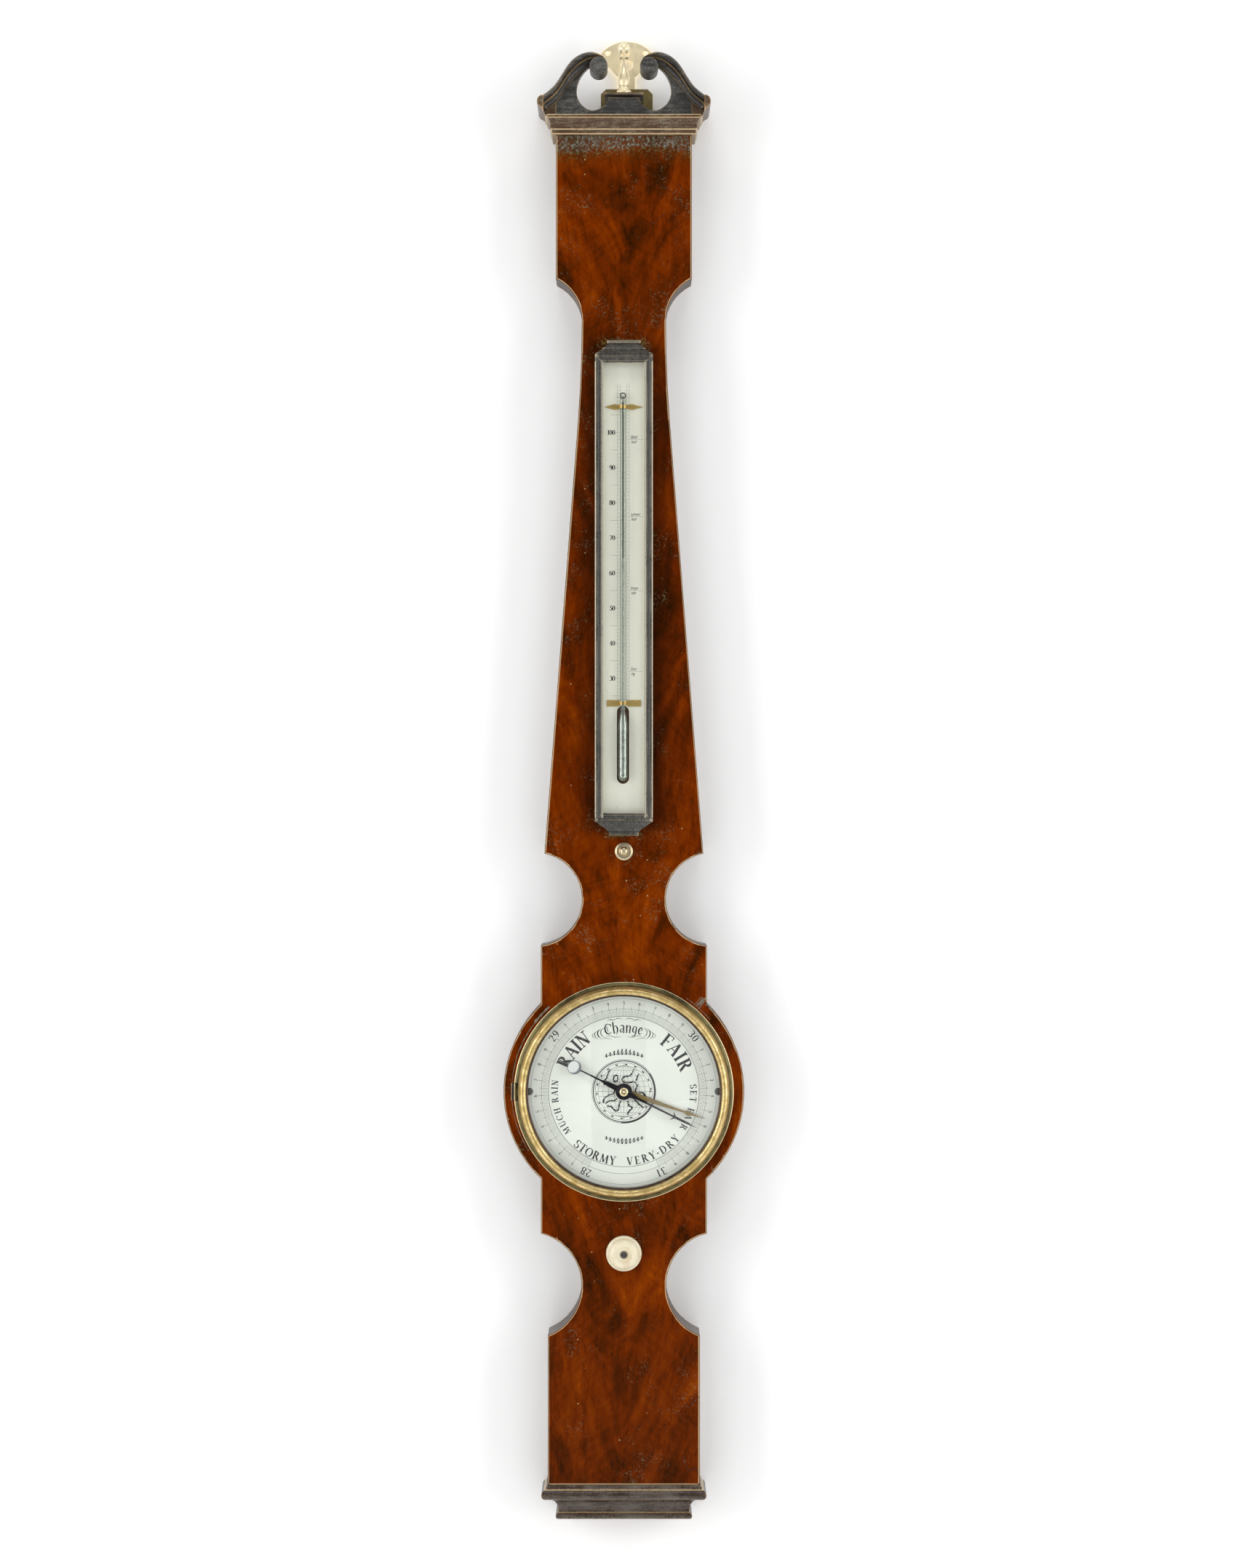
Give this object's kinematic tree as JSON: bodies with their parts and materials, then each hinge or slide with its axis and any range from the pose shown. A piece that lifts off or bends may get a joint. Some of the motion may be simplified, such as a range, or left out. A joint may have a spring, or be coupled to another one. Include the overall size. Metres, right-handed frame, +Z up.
{
  "type": "wheel barometer",
  "caption": "Wall-hung wheel barometer in a shaped veneered case, with a hinged glazed dial, a thermometer box, a broken pediment and a square base.",
  "frame": {"origin": "middle hole of the hanging plate, on the wall plane", "axes": "+Z up along the case, +X to the right as seen from the front, -Y out of the wall towards the viewer"},
  "size_m": [0.1654, 0.0463, 1.0246],
  "materials": {
    "mahogany": "satin",
    "back_wood": "matte",
    "ebonised_wood": "satin",
    "polished_brass": "polished",
    "aged_brass": "satin",
    "dark_steel": "satin",
    "blued_steel": "polished",
    "silvered_brass": "satin",
    "clear_glass": "polished",
    "mercury": "polished",
    "silk_cord": "matte",
    "ivory": "polished"
  },
  "bodies": {
    "case": {"barometer_mercury": "mercury", "base_board": "ebonised_wood", "base_moulding": "ebonised_wood", "bezel_hinge_leaf": "aged_brass", "box_fixings": "aged_brass", "case_body": "mahogany", "case_hinge_leaves": "aged_brass", "case_screws": "dark_steel", "clip_screws": "dark_steel", "cornice": "ebonised_wood", "dial_plate": "silvered_brass", "dial_screws": "dark_steel", "finial": "polished_brass", "finial_plinth": "ebonised_wood", "front_veneer": "mahogany", "hanger_base_plate": "aged_brass", "hanging_plate": "polished_brass", "knob_bush": "polished_brass", "lower_tube_clip": "polished_brass", "lower_tube_cover": "back_wood", "pediment_board": "ebonised_wood", "rear_bridge": "aged_brass", "scroll_bosses": "ebonised_wood", "setting_cord": "silk_cord", "siphon_tube": "clear_glass", "swan_necks": "ebonised_wood", "thermometer_board": "back_wood", "thermometer_bottom_cap": "ebonised_wood", "thermometer_glass": "clear_glass", "thermometer_mercury": "mercury", "thermometer_plate": "silvered_brass", "thermometer_rails": "ebonised_wood", "thermometer_top_cap": "ebonised_wood", "thermometer_tube": "clear_glass", "tube_straps": "aged_brass", "upper_tube_clip": "polished_brass", "upper_tube_cover": "back_wood"},
    "bezel_and_glass": {"bezel": "aged_brass", "dial_glass": "clear_glass", "glass_ring": "silvered_brass"},
    "door": {"rear_door": "back_wood", "door_hinge_leaves": "aged_brass"},
    "button": {"door_button": "aged_brass"},
    "indicator": {"indicating_hand": "blued_steel", "hand_counterpoise": "silvered_brass", "hand_cap": "polished_brass", "hand_arbor": "aged_brass", "thread_pulley": "aged_brass"},
    "setter": {"set_hand": "aged_brass", "set_sleeve": "aged_brass"},
    "knob": {"setting_knob": "ivory", "knob_screw": "dark_steel", "knob_spindle": "aged_brass"},
    "float": {"float_weight": "clear_glass", "float_thread": "silk_cord"},
    "weight": {"counterweight": "dark_steel", "counterweight_thread": "silk_cord"},
    "catch": {"catch_knob": "polished_brass", "catch_spindle": "aged_brass"}
  },
  "joints": [
    {"name": "bezel_hinge", "type": "hinge", "parent": "case", "child": "bezel_and_glass", "pos_m": [-0.0763, -0.03425, -0.721], "axis": [0, 0, -1], "range_deg": [0, 105]},
    {"name": "door_hinge", "type": "hinge", "parent": "case", "child": "door", "pos_m": [0.0404, -0.0014, -0.721], "axis": [0, 0, -1], "range_deg": [0, 90]},
    {"name": "button_turn", "type": "hinge", "parent": "case", "child": "button", "pos_m": [-0.046, -0.0008, -0.734], "axis": [0, 1, 0], "range_deg": [0, 90]},
    {"name": "pressure_hand", "type": "hinge", "parent": "case", "child": "indicator", "pos_m": [-0.002, -0.02, -0.721], "axis": [0, 1, 0], "range_deg": [-271.2, 38.4]},
    {"name": "float_travel", "type": "slide", "parent": "case", "child": "float", "axis": [0, 0, 1], "range_m": [-0.0048, 0.0335], "deforming": ["float_thread"]},
    {"name": "weight_travel", "type": "slide", "parent": "case", "child": "weight", "axis": [0, 0, 1], "range_m": [-0.0335, 0.0048], "deforming": ["counterweight_thread"]},
    {"name": "knob_turn", "type": "hinge", "parent": "case", "child": "knob", "pos_m": [-0.002, -0.03, -0.83185], "axis": [0, 1, 0], "continuous": true},
    {"name": "set_hand_turn", "type": "hinge", "parent": "case", "child": "setter", "pos_m": [-0.002, -0.025, -0.721], "axis": [0, 1, 0], "continuous": true},
    {"name": "catch_turn", "type": "hinge", "parent": "case", "child": "catch", "pos_m": [-0.002, -0.03, -0.55575], "axis": [0, 1, 0], "range_deg": [0, 90]}
  ],
  "couplings": [
    {"joint": "float_travel", "follows": "pressure_hand", "m_per_rad": -0.0070509},
    {"joint": "weight_travel", "follows": "pressure_hand", "m_per_rad": 0.0070509},
    {"joint": "set_hand_turn", "follows": "knob_turn", "ratio": 1}
  ]
}
